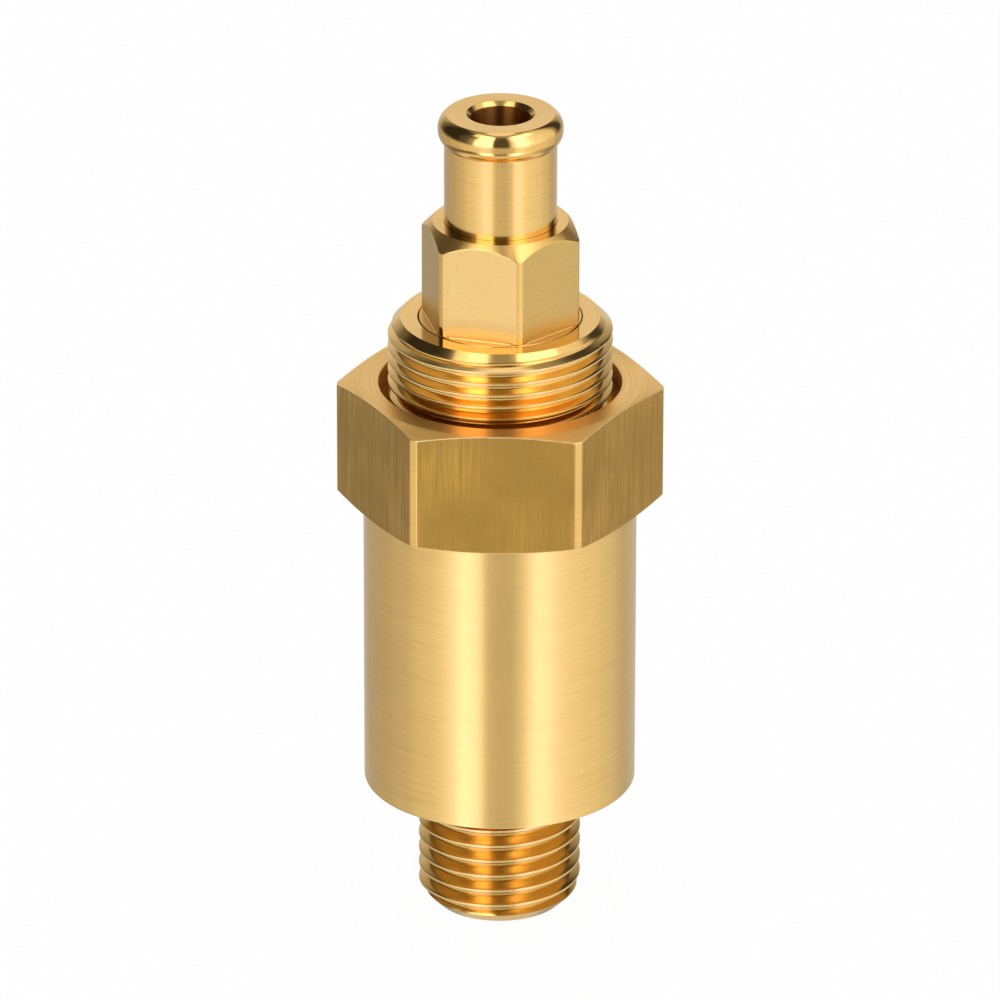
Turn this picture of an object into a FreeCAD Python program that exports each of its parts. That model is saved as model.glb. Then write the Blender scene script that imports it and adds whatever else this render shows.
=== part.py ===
import FreeCAD, Part
import math
import os
import re
import Sketcher

# An adjustable, spring-loaded expansion valve for a hot-water circuit.
# Millimetres, +Z up. The origin is the centre of the inlet's end face, and +Z is the valve's axis.
# Water comes in at the bottom, lifts the plunger off its seat against the spring, passes the
# plunger's slots, the spring and the adjusting bush, and drains through the hose spigot on top.
# Threads are drawn as plain cylinders, the male ones at their nominal diameter.

SIZES = {
    # Clearances: between a screw and its nut, a sliding pair, a pair fixed in place,
    # and two end faces that turn on each other.
    "thread_gap": 0.05,
    "running_gap": 0.08,
    "fixed_gap": 0.02,
    "face_gap": 0.05,
    # Inlet, a G 1/4 male thread
    "inlet_thread_diameter": 13.157,
    "inlet_length": 11.0,
    "inlet_end_chamfer": 1.3,
    "inlet_relief_width": 1.6,
    "inlet_relief_diameter": 11.2,
    "inlet_undercut_depth": 0.3,
    "inlet_undercut_gap": 0.12,
    "inlet_bore": 5.5,
    # Body
    "body_diameter": 22.0,
    "body_length": 24.5,
    "chamber_diameter": 15.4,
    "floor_thickness": 2.0,
    # Seat nozzle, screwed in the body's floor by its hexagon on a flat gasket
    "nozzle_shank_diameter": 8.0,
    "nozzle_shank_length": 4.0,
    "nozzle_across_flats": 11.0,
    "nozzle_hex_thickness": 1.4,
    "nozzle_bore": 4.5,
    "seat_gasket_thickness": 0.5,
    "seat_lip_width": 0.5,
    "seat_lip_height": 1.2,
    # Plunger and its soft seal
    "seal_diameter": 8.0,
    "seal_thickness": 1.8,
    "seal_proud": 0.4,
    "seal_pocket_wall": 1.2,
    "plunger_neck_height": 2.0,
    "plunger_guide_thickness": 2.0,
    "plunger_lift": 1.5,
    "plunger_spigot_height": 3.0,
    "slot_diameter": 3.2,
    "slot_count": 4,
    # Spring and spring plate
    "spring_wire": 1.25,
    "spring_outer_diameter": 10.4,
    "spring_turns": 7,
    "spring_side_gap": 0.5,
    "spring_spigot_gap": 0.15,
    "plate_thickness": 1.5,
    "plate_spigot_height": 1.5,
    "plate_bore": 4.5,
    # Adjusting bush, M18 x 1
    "bush_thread_diameter": 18.0,
    "bush_projection": 5.65,
    "bush_top_chamfer": 1.0,
    "bush_lead_chamfer": 0.8,
    "bush_web": 2.0,
    "bush_flow_bore": 6.5,
    "screw_in_travel": 3.0,
    "bush_end_gap": 0.4,
    # Lock nut, with its flats a wall outside its thread, and the seal ring in its underside
    "lock_nut_wall": 2.5,
    "lock_nut_corner_cut": 0.18,
    "lock_nut_face_cut": 0.05,
    "lock_nut_chamfer_angle": 15,
    "lock_nut_height": 10.1,
    "lock_nut_angle": 58.3,
    "lock_nut_recess_gap": 0.75,
    "lock_nut_recess_depth": 2.5,
    "nut_ring_width": 1.1,
    "nut_ring_thickness": 1.2,
    # Outlet hexagon, screwed into the bush by a G 1/8 stub on a flat gasket
    "stub_diameter": 9.728,
    "stub_length": 5.7,
    "stub_tap_runout": 0.5,
    "gasket_thickness": 0.5,
    "collar_diameter": 13.0,
    "collar_thickness": 1.4,
    "collar_side_gap": 0.06,
    "outlet_hex_across_flats": 11.5,
    "outlet_hex_top_diameter": 10.85,
    "outlet_hex_height": 8.25,
    "outlet_hex_angle": 43.5,
    "outlet_hex_bore": 4.8,
    "socket_depth": 5.0,
    "socket_mouth_gap": 0.08,
    "socket_mouth_depth": 0.3,
    # Hose spigot
    "spigot_diameter": 9.0,
    "spigot_projection": 9.1,
    "spigot_bore": 4.8,
    "spigot_mouth_chamfer": 0.35,
    "bead_rise": 0.5,
    "bead_radius": 1.35,
    "bead_drop": 1.17,
    "bead_fillet": 1.4,
}

# Heights of the faces that pieces share, counted from the inlet's end face.
FLOOR = "(inlet_length + floor_thickness)"
BODY_TOP = "(inlet_length + body_length)"
NOZZLE_SHOULDER = f"({FLOOR} + seat_gasket_thickness)"
SEAT = f"({NOZZLE_SHOULDER} + nozzle_hex_thickness + seat_lip_height)"
GUIDE_TOP = f"({SEAT} + seal_proud + plunger_neck_height + plunger_guide_thickness)"
BUSH_BOTTOM = f"({GUIDE_TOP} + plunger_lift + screw_in_travel + bush_end_gap)"
THREAD_BOTTOM = f"({BUSH_BOTTOM} - screw_in_travel - bush_end_gap)"
BUSH_TOP = f"({BODY_TOP} + lock_nut_height + bush_projection)"
GASKET_SEAT = f"({BUSH_TOP} - collar_thickness - gasket_thickness)"
STUB_BOTTOM = f"({BUSH_TOP} - collar_thickness - stub_length)"
PLATE_SHOULDER = f"({STUB_BOTTOM} - stub_tap_runout - bush_web)"
SPRING_TOP = f"({PLATE_SHOULDER} - face_gap - plate_thickness)"
HEX_TOP = f"({BUSH_TOP} + outlet_hex_height)"
SOCKET_FLOOR = f"({HEX_TOP} - socket_depth)"

# Radii that pieces share.
BODY_THREAD = "(bush_thread_diameter / 2 + thread_gap)"
POCKET = "(nozzle_shank_diameter / 2 + thread_gap)"
SPRING_SPIGOT = "(spring_outer_diameter / 2 - spring_wire - spring_spigot_gap)"
COLLAR_RECESS = "(collar_diameter / 2 + collar_side_gap)"
STUB_TAP = "(stub_diameter / 2 + thread_gap)"
SOCKET = "(spigot_diameter / 2 + fixed_gap)"

doc = FreeCAD.newDocument("expansion_valve")


def write_sheet():
    """Put the driving sizes in the spreadsheet, one row each, with their names as aliases."""
    sheet = doc.addObject("Spreadsheet::Sheet", "Sizes")
    for row, (name, number) in enumerate(SIZES.items(), start=1):
        sheet.set(f"A{row}", name)
        sheet.set(f"B{row}", str(number))
        sheet.setAlias(f"B{row}", name)
    doc.recompute()
    return sheet


def bound(text):
    """Turn an expression written with the sizes' names into one that reads the sheet."""
    return re.sub(r"[a-z]\w+", lambda m: f"Sizes.{m[0]}" if m[0] in SIZES else m[0], text)


def value(text):
    """What such an expression comes to now."""
    result = sheet.evalExpression(bound(text))
    return float(getattr(result, "Value", result))


def new_body(label, height="0", angle="0"):
    """An empty body that stands at a height on the axis, turned by an angle about it."""
    body = doc.addObject("PartDesign::Body", label)
    body.Label = label
    body.setExpression("Placement.Base.z", bound(height))
    if angle != "0":
        body.setExpression("Placement.Rotation.Angle", bound(angle))
    return body


def new_sketch(body, name, role, height="0"):
    """An empty sketch on one of the body's own origin planes, raised along its normal."""
    plane = next(p for p in body.Origin.OriginFeatures if p.Role == role)
    sketch = body.newObject("Sketcher::SketchObject", name)
    sketch.AttachmentSupport = [(plane, "")]
    sketch.MapMode = "FlatFace"
    if height != "0":
        sketch.setExpression("AttachmentOffset.Base.z", bound(height))
    return sketch


def drive(sketch, kind, geometry, text):
    """Add one sketch dimension and bind it to its expression."""
    index = sketch.addConstraint(Sketcher.Constraint(kind, *geometry, abs(value(text))))
    sketch.setExpression(f"Constraints[{index}]", bound(text))


def add_side(sketch, start, end, radius):
    """Add a straight side, or an arc that turns left for a positive radius and right for a
    negative one. Returns which end of the new curve is its start and which its end."""
    if radius == 0:
        sketch.addGeometry(Part.LineSegment(start, end))
        return 1, 2
    chord = end - start
    left = FreeCAD.Vector(-chord.y, chord.x, 0).normalize()
    rise = math.sqrt(radius**2 - (chord.Length / 2) ** 2)
    centre = (start + end) / 2 + left * math.copysign(rise, radius)
    first, last = (start, end) if radius > 0 else (end, start)
    angles = [math.atan2(p.y - centre.y, p.x - centre.x) for p in (first, last)]
    circle = Part.Circle(centre, FreeCAD.Vector(0, 0, 1), abs(radius))
    sketch.addGeometry(Part.ArcOfCircle(circle, *angles))
    return (1, 2) if radius > 0 else (2, 1)


def draw_profile(body, name, outline):
    """Draw a closed half-section. Each corner is (radius, height), and a third entry is the
    radius of the arc that leads to the next corner, negative where it turns right."""
    sketch = new_sketch(body, name, "XZ_Plane")
    points = [FreeCAD.Vector(value(c[0]), value(c[1]), 0) for c in outline]
    arcs = [c[2] if len(c) > 2 else "0" for c in outline]
    ends = []
    for i, arc in enumerate(arcs):
        ends.append(add_side(sketch, points[i], points[(i + 1) % len(points)], value(arc)))
    for i, corner in enumerate(outline):
        after = (i + 1) % len(outline)
        start = (i, ends[i][0])
        sketch.addConstraint(
            Sketcher.Constraint("Coincident", i, ends[i][1], after, ends[after][0])
        )
        for kind, text, axis in (("DistanceX", corner[0], -2), ("DistanceY", corner[1], -1)):
            if text == "0":
                sketch.addConstraint(Sketcher.Constraint("PointOnObject", *start, axis))
            else:
                drive(sketch, kind, (-1, 1, *start), text)
        if arcs[i] != "0":
            drive(sketch, "Radius", (i,), arcs[i].lstrip("-"))
    return sketch


def turn(body, name, outline, kind="PartDesign::Revolution"):
    """Turn a half-section about the body's Z axis, to add material or, as a groove, to cut it."""
    sketch = draw_profile(body, f"{name}_profile", outline)
    feature = body.newObject(kind, name)
    feature.Profile = sketch
    feature.ReferenceAxis = (sketch, ["V_Axis"])
    feature.Angle = 360
    return feature


def cut_turned(body, name, outline):
    """Groove a half-section out of the body, and make sure that it cut."""
    doc.recompute()
    before = body.Shape.Volume
    turn(body, name, outline, kind="PartDesign::Groove")
    doc.recompute()
    if not body.Shape.Volume < before:
        raise RuntimeError(f"{name} cut nothing from {body.Label}")


def pad_hexagon(body, name, across_flats, height, base="0"):
    """Pad a hexagon with one corner on the body's X axis."""
    sketch = new_sketch(body, f"{name}_outline", "XY_Plane", base)
    corner = f"{across_flats} / sqrt(3)"
    reach = value(corner)
    sixth = math.radians(60)
    points = [FreeCAD.Vector(math.cos(i * sixth), math.sin(i * sixth), 0) * reach for i in range(6)]
    for i in range(6):
        sketch.addGeometry(Part.LineSegment(points[i], points[(i + 1) % 6]))
    circle = sketch.addGeometry(Part.Circle(FreeCAD.Vector(), FreeCAD.Vector(0, 0, 1), reach), True)
    sketch.addConstraint(Sketcher.Constraint("Coincident", circle, 3, -1, 1))
    for i in range(6):
        sketch.addConstraint(Sketcher.Constraint("Coincident", i, 2, (i + 1) % 6, 1))
        sketch.addConstraint(Sketcher.Constraint("PointOnObject", i, 1, circle))
        if i:
            sketch.addConstraint(Sketcher.Constraint("Equal", 0, i))
    sketch.addConstraint(Sketcher.Constraint("PointOnObject", 0, 1, -1))
    drive(sketch, "Radius", (circle,), corner)
    pad = body.newObject("PartDesign::Pad", name)
    pad.Profile = sketch
    pad.setExpression("Length", bound(height))


def make_valve_body():
    """The inlet thread ends in a relief groove that also undercuts the shoulder, so that a washer
    passes the thread and lies flat on the shoulder."""
    body = new_body("valve_body")
    thread = "inlet_thread_diameter / 2"
    relief = "inlet_relief_diameter / 2"
    outside = "body_diameter / 2"
    pocket_floor = f"{NOZZLE_SHOULDER} - nozzle_shank_length - face_gap"
    thread_end = "inlet_length - inlet_relief_width"
    turn(body, "turned_body", [
        ("inlet_bore / 2", "0"),
        (f"{thread} - inlet_end_chamfer", "0"),
        (thread, "inlet_end_chamfer"),
        (thread, thread_end),
        (relief, f"{thread_end} + {thread} - {relief}"),
        (relief, "inlet_length + inlet_undercut_depth"),
        (f"{thread} + inlet_undercut_gap", "inlet_length"),
        (outside, "inlet_length"),
        (outside, BODY_TOP),
        (BODY_THREAD, BODY_TOP),
        (BODY_THREAD, THREAD_BOTTOM),
        ("chamber_diameter / 2", THREAD_BOTTOM),
        ("chamber_diameter / 2", FLOOR),
        (POCKET, FLOOR),
        (POCKET, pocket_floor),
        ("inlet_bore / 2", pocket_floor),
    ])
    return body


def make_seat_nozzle():
    """A threaded shank, a hexagon to turn it by and, on top, the raised lip that the seal rests on."""
    body = new_body("seat_nozzle", f"{NOZZLE_SHOULDER} - nozzle_shank_length")
    shank = "nozzle_shank_diameter / 2"
    lip = "(nozzle_bore / 2 + seat_lip_width)"
    hex_top = "(nozzle_shank_length + nozzle_hex_thickness)"
    turn(body, "turned_nozzle", [
        ("0", "0"),
        (shank, "0"),
        (shank, hex_top),
        (f"{lip} + seat_lip_height", hex_top),
        (lip, f"{hex_top} + seat_lip_height"),
        ("0", f"{hex_top} + seat_lip_height"),
    ])
    pad_hexagon(body, "hexagon", "nozzle_across_flats", "nozzle_hex_thickness",
                "nozzle_shank_length")
    cut_turned(body, "bore", [
        ("0", "0"),
        ("nozzle_bore / 2", "0"),
        ("nozzle_bore / 2", f"{hex_top} + seat_lip_height"),
        ("0", f"{hex_top} + seat_lip_height"),
    ])
    return body


def make_washer(label, height, inside, outside, thickness):
    """A flat sealing ring of rectangular section."""
    body = new_body(label, height)
    turn(body, "turned_washer", [
        (inside, "0"),
        (outside, "0"),
        (outside, thickness),
        (inside, thickness),
    ])
    return body


def make_plunger():
    """The valve's moving part: a rim round the seal, a slotted guide and a spigot for the spring."""
    body = new_body("plunger", f"{SEAT} + seal_proud")
    pocket = "seal_diameter / 2 + fixed_gap"
    guide = "chamber_diameter / 2 - running_gap"
    guide_top = "(plunger_neck_height + plunger_guide_thickness)"
    pocket_depth = "seal_thickness - seal_proud"
    tip = f"{guide_top} + plunger_spigot_height"
    turn(body, "turned_plunger", [
        ("0", pocket_depth),
        (pocket, pocket_depth),
        (pocket, "0"),
        (f"{pocket} + seal_pocket_wall", "0"),
        (f"{pocket} + seal_pocket_wall", "plunger_neck_height"),
        (guide, "plunger_neck_height"),
        (guide, guide_top),
        (SPRING_SPIGOT, guide_top),
        (SPRING_SPIGOT, f"{tip} - plunger_spigot_height / 3"),
        (f"{SPRING_SPIGOT} - plunger_spigot_height / 3", tip),
        ("0", tip),
    ])
    doc.recompute()
    solid = body.Shape.Volume
    sketch = new_sketch(body, "slot_outline", "XY_Plane")
    centre = FreeCAD.Vector(value(guide), 0, 0)
    radius = value("slot_diameter / 2")
    sketch.addGeometry(Part.Circle(centre, FreeCAD.Vector(0, 0, 1), radius))
    sketch.addConstraint(Sketcher.Constraint("PointOnObject", 0, 3, -1))
    drive(sketch, "DistanceX", (-1, 1, 0, 3), guide)
    drive(sketch, "Radius", (0,), "slot_diameter / 2")
    slot = body.newObject("PartDesign::Pocket", "slot")
    slot.Profile = sketch
    slot.Type = "ThroughAll"
    slot.Midplane = True
    doc.recompute()
    slots = body.newObject("PartDesign::PolarPattern", "slots")
    slots.Originals = [slot]
    slots.Axis = (sketch, ["N_Axis"])
    slots.Angle = 360
    slots.setExpression("Occurrences", bound("slot_count"))
    body.Tip = slots
    doc.recompute()
    if not body.Shape.Volume < solid:
        raise RuntimeError("the plunger's slots cut nothing")
    return body


def make_seal_disc():
    disc = doc.addObject("Part::Cylinder", "seal_disc")
    disc.Label = "seal_disc"
    disc.setExpression("Radius", bound("seal_diameter / 2"))
    disc.setExpression("Height", bound("seal_thickness"))
    disc.setExpression("Placement.Base.z", bound(SEAT))
    return disc


def make_spring():
    """A compression spring whose first and last turns lie closed and are ground flat. Its wire
    has eight sides, which keeps the faces of so many turns few."""
    wire = value("spring_wire")
    radius = value("spring_outer_diameter / 2") - wire / 2
    length = value(f"{SPRING_TOP} - {GUIDE_TOP}")
    open_turns = value("spring_turns") - 2
    open_pitch = (length - 2 * wire) / open_turns
    axis = FreeCAD.Vector(0, 0, 1)
    edges = []
    height, angle = 0.0, 0.0
    for pitch, turns in ((wire, 1), (open_pitch, open_turns), (wire, 1)):
        stretch = Part.makeHelix(pitch, pitch * turns, radius)
        stretch.rotate(FreeCAD.Vector(), axis, angle)
        stretch.translate(axis * height)
        edges.extend(stretch.Edges)
        height += pitch * turns
        angle += 360 * turns
    sides = 8
    section = []
    for i in range(sides + 1):
        around = 2 * math.pi * (i + 0.5) / sides
        out, up = wire / 2 * math.cos(around), wire / 2 * math.sin(around)
        section.append(FreeCAD.Vector(radius + out, 0, up))
    coil = Part.Wire(edges).makePipeShell([Part.makePolygon(section)], True, True)
    ground = coil.common(Part.makeCylinder(radius + wire, length))
    spring = doc.addObject("Part::Feature", "spring")
    spring.Label = "spring"
    spring.Shape = ground.Solids[0]
    spring.Placement.Base.z = value(GUIDE_TOP)
    return spring


def make_spring_plate():
    body = new_body("spring_plate", f"{SPRING_TOP} - plate_spigot_height")
    rim = "spring_outer_diameter / 2 + spring_side_gap - running_gap"
    top = "plate_spigot_height + plate_thickness"
    turn(body, "turned_plate", [
        ("plate_bore / 2", "0"),
        (SPRING_SPIGOT, "0"),
        (SPRING_SPIGOT, "plate_spigot_height"),
        (rim, "plate_spigot_height"),
        (rim, top),
        ("plate_bore / 2", top),
    ])
    return body


def make_adjusting_bush():
    body = new_body("adjusting_bush", BUSH_BOTTOM)
    thread = "bush_thread_diameter / 2"
    spring_bore = "spring_outer_diameter / 2 + spring_side_gap"
    top = f"{BUSH_TOP} - {BUSH_BOTTOM}"
    gasket_seat = f"{GASKET_SEAT} - {BUSH_BOTTOM}"
    tap_bottom = f"{STUB_BOTTOM} - stub_tap_runout - {BUSH_BOTTOM}"
    shoulder = f"{PLATE_SHOULDER} - {BUSH_BOTTOM}"
    turn(body, "turned_bush", [
        (spring_bore, "0"),
        (f"{thread} - bush_lead_chamfer", "0"),
        (thread, "bush_lead_chamfer"),
        (thread, f"{top} - bush_top_chamfer"),
        (f"{thread} - bush_top_chamfer", top),
        (COLLAR_RECESS, top),
        (COLLAR_RECESS, gasket_seat),
        (STUB_TAP, gasket_seat),
        (STUB_TAP, tap_bottom),
        ("bush_flow_bore / 2", tap_bottom),
        ("bush_flow_bore / 2", shoulder),
        (spring_bore, shoulder),
    ])
    return body


def make_lock_nut():
    body = new_body("lock_nut", BODY_TOP, "lock_nut_angle")
    across_flats = "(bush_thread_diameter + 2 * lock_nut_wall)"
    pad_hexagon(body, "nut_blank", across_flats, "lock_nut_height")
    face = f"({across_flats} / 2 - lock_nut_face_cut)"
    corner = f"({across_flats} / sqrt(3) - lock_nut_corner_cut)"
    beyond = across_flats
    fall = f"({beyond} - {face}) * tan(lock_nut_chamfer_angle)"
    corner_fall = f"({corner} - {face}) * tan(lock_nut_chamfer_angle)"
    cut_turned(body, "turned_corners", [
        (corner, corner_fall),
        (beyond, corner_fall),
        (beyond, f"lock_nut_height - {corner_fall}"),
        (corner, f"lock_nut_height - {corner_fall}"),
    ])
    cut_turned(body, "lower_chamfer", [(face, "0"), (beyond, "0"), (beyond, fall)])
    cut_turned(body, "upper_chamfer", [
        (face, "lock_nut_height"),
        (beyond, "lock_nut_height"),
        (beyond, f"lock_nut_height - {fall}"),
    ])
    ring_seat = f"{BODY_THREAD} + nut_ring_width + fixed_gap"
    recess = "bush_thread_diameter / 2 + lock_nut_recess_gap"
    recess_floor = "lock_nut_height - lock_nut_recess_depth"
    cut_turned(body, "threaded_bore", [
        ("0", "0"),
        (ring_seat, "0"),
        (ring_seat, "nut_ring_thickness + fixed_gap"),
        (BODY_THREAD, "nut_ring_thickness + fixed_gap"),
        (BODY_THREAD, recess_floor),
        (recess, recess_floor),
        (recess, "lock_nut_height"),
        ("0", "lock_nut_height"),
    ])
    return body


def make_outlet_hex():
    """The stub and collar, the hexagon with its turned corners, and the bore through them."""
    body = new_body("outlet_hex", STUB_BOTTOM, "outlet_hex_angle")
    stub = "stub_diameter / 2"
    collar = "collar_diameter / 2"
    flats_bottom = "(stub_length + collar_thickness)"
    top = f"({flats_bottom} + outlet_hex_height)"
    turn(body, "stub_and_collar", [
        ("0", "0"),
        (stub, "0"),
        (stub, "stub_length"),
        (collar, "stub_length"),
        (collar, flats_bottom),
        ("0", flats_bottom),
    ])
    pad_hexagon(body, "hexagon", "outlet_hex_across_flats", "outlet_hex_height", flats_bottom)
    beyond = "outlet_hex_across_flats"
    top_edge = "outlet_hex_top_diameter / 2"
    cut_turned(body, "turned_corners", [
        (collar, flats_bottom),
        (beyond, flats_bottom),
        (beyond, top),
        (top_edge, top),
        (collar, f"{top} - {collar} + {top_edge}"),
    ])
    socket_floor = f"{top} - socket_depth"
    mouth = f"{SOCKET} + socket_mouth_gap"
    mouth_floor = f"{top} - socket_mouth_depth"
    cut_turned(body, "bore_and_socket", [
        ("0", "0"),
        ("outlet_hex_bore / 2", "0"),
        ("outlet_hex_bore / 2", socket_floor),
        (SOCKET, socket_floor),
        (SOCKET, mouth_floor),
        (mouth, mouth_floor),
        (mouth, top),
        ("0", top),
    ])
    return body


def make_hose_spigot():
    """A tube pressed in the hexagon's socket, with a rounded bead that holds the hose."""
    body = new_body("hose_spigot", SOCKET_FLOOR)
    bore = "spigot_bore / 2"
    outside = "spigot_diameter / 2"
    top = "(socket_depth + spigot_projection)"
    bead_middle = f"({top} - bead_drop)"
    bead_centre = f"({outside} + bead_rise - bead_radius)"
    foot_fall = "sqrt(bead_radius ^ 2 - (bead_radius - bead_rise) ^ 2)"
    crown = f"{bead_centre} + sqrt(bead_radius ^ 2 - bead_drop ^ 2)"
    turned = turn(body, "turned_spigot", [
        (bore, "0"),
        (outside, "0"),
        (outside, f"{bead_middle} - {foot_fall}", "bead_radius"),
        (crown, top),
        (f"{bore} + spigot_mouth_chamfer", top),
        (bore, f"{top} - spigot_mouth_chamfer"),
    ])
    doc.recompute()
    foot = value(f"{bead_middle} - {foot_fall}")
    neck_edge = next(
        i for i, edge in enumerate(turned.Shape.Edges, start=1)
        if isinstance(edge.Curve, Part.Circle)
        and math.isclose(edge.Curve.Center.z, foot, abs_tol=1e-4)
    )
    fillet = body.newObject("PartDesign::Fillet", "bead_foot")
    fillet.Base = (turned, [f"Edge{neck_edge}"])
    fillet.setExpression("Radius", bound("bead_fillet"))
    return body


def check_and_write(pieces):
    """Stop on any failed feature or bad solid, and otherwise write one file for each piece."""
    doc.recompute()
    for item in doc.Objects:
        if {"Invalid", "Error"} & set(item.State):
            raise RuntimeError(f"{item.Name} failed: {item.State}")
    for piece in pieces:
        shape = piece.Shape
        if shape.isNull() or not shape.isValid() or len(shape.Solids) != 1:
            raise RuntimeError(f"{piece.Label} isn't one valid solid")
    os.makedirs("parts", exist_ok=True)
    for piece in pieces:
        piece.Shape.exportStep(f"parts/{piece.Label}.step")


sheet = write_sheet()
ring_outside = f"{BODY_THREAD} + nut_ring_width"
check_and_write([
    make_valve_body(),
    make_seat_nozzle(),
    make_washer("seat_gasket", FLOOR, POCKET, "nozzle_across_flats / 2", "seat_gasket_thickness"),
    make_plunger(),
    make_seal_disc(),
    make_spring(),
    make_spring_plate(),
    make_adjusting_bush(),
    make_lock_nut(),
    make_washer("nut_seal_ring", BODY_TOP, BODY_THREAD, ring_outside, "nut_ring_thickness"),
    make_washer("outlet_gasket", GASKET_SEAT, STUB_TAP, "collar_diameter / 2", "gasket_thickness"),
    make_outlet_hex(),
    make_hose_spigot(),
])
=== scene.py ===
import math

import bmesh
import bpy
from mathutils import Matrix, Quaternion, Vector


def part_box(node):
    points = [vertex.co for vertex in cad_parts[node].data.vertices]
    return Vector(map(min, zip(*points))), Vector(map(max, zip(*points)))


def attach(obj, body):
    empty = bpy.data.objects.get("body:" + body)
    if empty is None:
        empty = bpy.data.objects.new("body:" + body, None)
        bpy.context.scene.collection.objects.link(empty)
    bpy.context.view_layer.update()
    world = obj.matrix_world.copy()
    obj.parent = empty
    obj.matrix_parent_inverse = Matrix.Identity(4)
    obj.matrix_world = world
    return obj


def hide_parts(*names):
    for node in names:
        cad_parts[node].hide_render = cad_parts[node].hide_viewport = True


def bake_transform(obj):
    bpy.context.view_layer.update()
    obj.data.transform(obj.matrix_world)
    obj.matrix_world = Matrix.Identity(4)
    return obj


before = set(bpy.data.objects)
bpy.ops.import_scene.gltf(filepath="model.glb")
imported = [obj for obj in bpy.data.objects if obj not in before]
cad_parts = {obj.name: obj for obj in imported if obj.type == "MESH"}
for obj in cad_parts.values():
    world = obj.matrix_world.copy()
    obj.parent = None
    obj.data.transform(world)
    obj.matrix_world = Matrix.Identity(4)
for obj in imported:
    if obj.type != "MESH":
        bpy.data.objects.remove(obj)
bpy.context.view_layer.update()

# The valve stands on its inlet along +Z, and the camera looks at its -Y side.
# Pieces are worked out in millimetres and written to their meshes in metres.
MM = 0.001

# Fineness of the meshes: columns round the axis, and steps along a rounded edge, a fillet, the
# bead and a hexagon's flat
COLUMNS = 168
ROUNDING_STEPS = 8
FILLET_STEPS = 6
BEAD_STEPS = 12
FLAT_STEPS = 14
LAND_STEPS = 3
# Points closer than WELD become one, and edges shorter than SLIVER go.
WELD = 0.002
SLIVER = 0.001
# Faces that meet at more than this angle show a crisp edge.
SHARP_ANGLE = math.radians(14)

# Threads: nominal radius, depth, pitch, and the height of one crest at the front of the valve
INLET_THREAD = {"radius": 6.5785, "depth": 0.856, "pitch": 1.337, "front_crest": 8.64}
BUSH_THREAD = {"radius": 9.0, "depth": 0.613, "pitch": 1.0, "front_crest": 49.02}
# Their crests, crest edges and roots, as shares of the pitch
CREST_HALF = 0.06
CREST_ROUNDING = 0.02
ROOT_HALF = 0.085
ROOT_ROUNDING = 0.02
# Turns of a crest's edge in degrees, how far the edge falls as a share of the depth, and where
# rows of points lie down a flank
CREST_TURNS = (0, 12, 24, 36, 48, 60)
CREST_FALL = 1.6 * CREST_ROUNDING
FLANK_SHARES = (0.35, 0.65, 0.94)
# A helix starts and ends this many turns beyond the blank, which cuts it off.
SPARE_TURNS = 2

# Edge breaks left by the tools, and the shape of one: shares of its width, and how far it falls
FINE_EDGE = 0.06
EDGE = 0.12
BORE_EDGE = 0.2
BREAK_SHARES = (0.35, 1.0)
BREAK_FALL = 0.35

# Valve body, from the inlet's end face upwards
INLET_LENGTH = 11.0
INLET_CHAMFER = 1.3
RELIEF_RADIUS = 5.6
RELIEF_WIDTH = 1.6
UNDERCUT_DEPTH = 0.3
UNDERCUT_RADIUS = INLET_THREAD["radius"] + 0.12
INLET_BORE = 2.75
BODY_RADIUS = 11.0
CHAMBER_RADIUS = 7.7
FLOOR_HEIGHT = 13.0
BODY_THREAD_BOTTOM = 22.0
THREAD_GAP = 0.05
# Radius, and height of the bottom
NOZZLE_POCKET = (4.05, 9.45)

# Adjusting bush
BUSH_TOP_CHAMFER = 1.0
BUSH_LEAD_CHAMFER = 0.8
BUSH_FLOW_BORE = 3.25
# Radius, and height of the bottom or, for the plate's shoulder, of the top
COLLAR_RECESS = (6.56, 49.35)
STUB_TAP = (4.914, 43.65)
PLATE_SHOULDER = (5.7, 41.65)

# Lock nut
NUT_APOTHEM = 11.5
NUT_CORNER = 13.099
NUT_FACE = 11.45
NUT_SLOPE = math.tan(math.radians(15))
NUT_TURN = 58.3
# Radius and depth
NUT_RECESS = (9.75, 2.5)
NUT_RING_SEAT = (10.17, 1.22)

# Outlet hexagon
HEX_APOTHEM = 5.75
HEX_CORNER = 6.5
HEX_FACE = 5.425
HEX_SLOPE = 1.0
HEX_TURN = 43.5
FOOT_FILLET = 0.1
FOOT_MIDDLE = 0.3 * FOOT_FILLET
STUB_RADIUS = 4.864
STUB_LENGTH = 5.7
COLLAR_THICKNESS = 1.4
OUTLET_BORE = 2.4
# Radius and depth
SOCKET = (4.52, 5.0)
SOCKET_MOUTH = (4.6, 0.3)

# Hose spigot
SPIGOT_RADIUS = 4.5
BEAD_RADIUS = 1.35
BEAD_RISE = 0.5
BEAD_DROP = 1.17
BEAD_BAND = 0.2
BEAD_FILLET = 0.15
MOUTH_CHAMFER = 0.35

# How far the faces of each finish lean: the part of their normal along the axis
UPRIGHT_LEAN = 0.1
CREST_EDGE_LEAN = 0.3
CHAMFER_LEAN = 0.4
NUT_EDGE_LEANS = (0.15, 0.93)
LEVEL_LEAN = 0.98
# A crest is what reaches at least this close to the thread's nominal radius.
CREST_REACH = 0.02

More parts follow.
